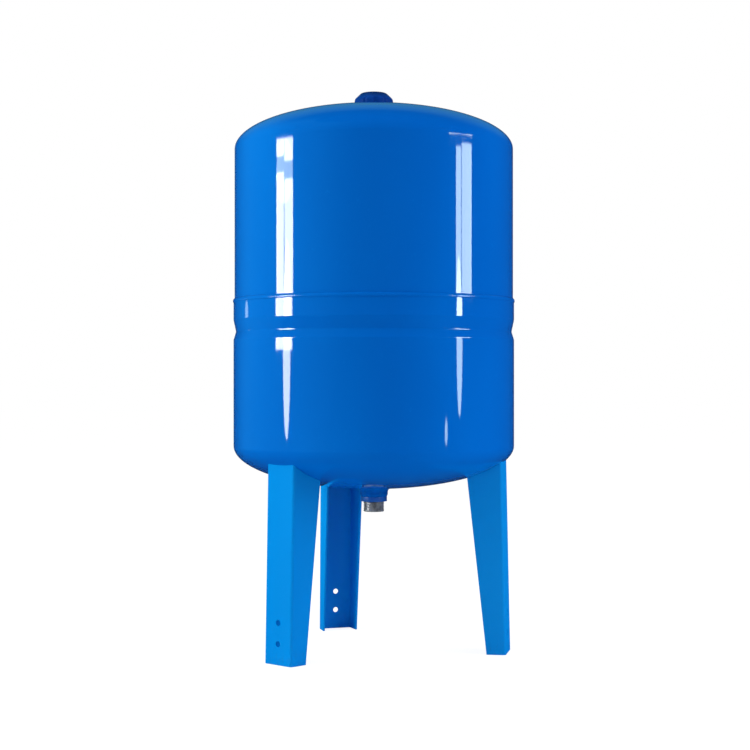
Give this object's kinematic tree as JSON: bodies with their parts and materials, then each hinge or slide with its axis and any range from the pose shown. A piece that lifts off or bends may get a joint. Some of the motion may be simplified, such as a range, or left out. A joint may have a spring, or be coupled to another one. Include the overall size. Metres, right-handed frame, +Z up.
{
  "type": "diaphragm pressure tank",
  "caption": "Upright diaphragm pressure tank: a domed steel cylinder on bent-sheet legs, with a threaded water connection below and an air valve under a cover on top.",
  "frame": {"origin": "on the tank's axis at floor level", "axes": "+Z up along the tank's axis, +Y towards the single rear leg"},
  "size_m": [0.4524, 0.4524, 0.893],
  "materials": {
    "tank_paint": "glossy blue paint",
    "leg_paint": "satin blue paint",
    "nipple_steel": "bare turned thread below a painted collar",
    "plain_steel": "plain rolled steel",
    "brass": "turned",
    "rubber": "moulded black rubber",
    "liner_plastic": "moulded natural polypropylene",
    "cover_plastic": "moulded dark blue plastic"
  },
  "bodies": {
    "tank": {"upper_shell": "tank_paint", "lower_shell": "tank_paint", "seam_weld": "tank_paint", "diaphragm": "rubber", "clamp_ring": "plain_steel", "water_liner": "liner_plastic", "water_nipple": "nipple_steel", "nipple_weld": "tank_paint", "inlet_seal": "rubber", "valve_boss": "plain_steel", "boss_weld": "tank_paint", "stem_seal": "rubber", "valve_stem": "brass", "core_barrel": "brass", "core_spring": "plain_steel", "leg_1": "leg_paint", "leg_2": "leg_paint", "leg_3": "leg_paint", "leg_welds": "leg_paint"},
    "cover": {"valve_cover": "cover_plastic"},
    "valve_pin": {"core_pin": "brass", "core_seal": "rubber"}
  },
  "joints": [
    {"name": "valve_cover_lift", "type": "slide", "parent": "tank", "child": "cover", "axis": [0, 0, 1], "range_m": [0, 0.05]},
    {"name": "valve_pin_press", "type": "slide", "parent": "tank", "child": "valve_pin", "axis": [0, 0, -1], "range_m": [0, 0.0015], "stiffness_N_per_m": 800, "springref_m": -0.002, "deforming": ["core_spring"]}
  ]
}
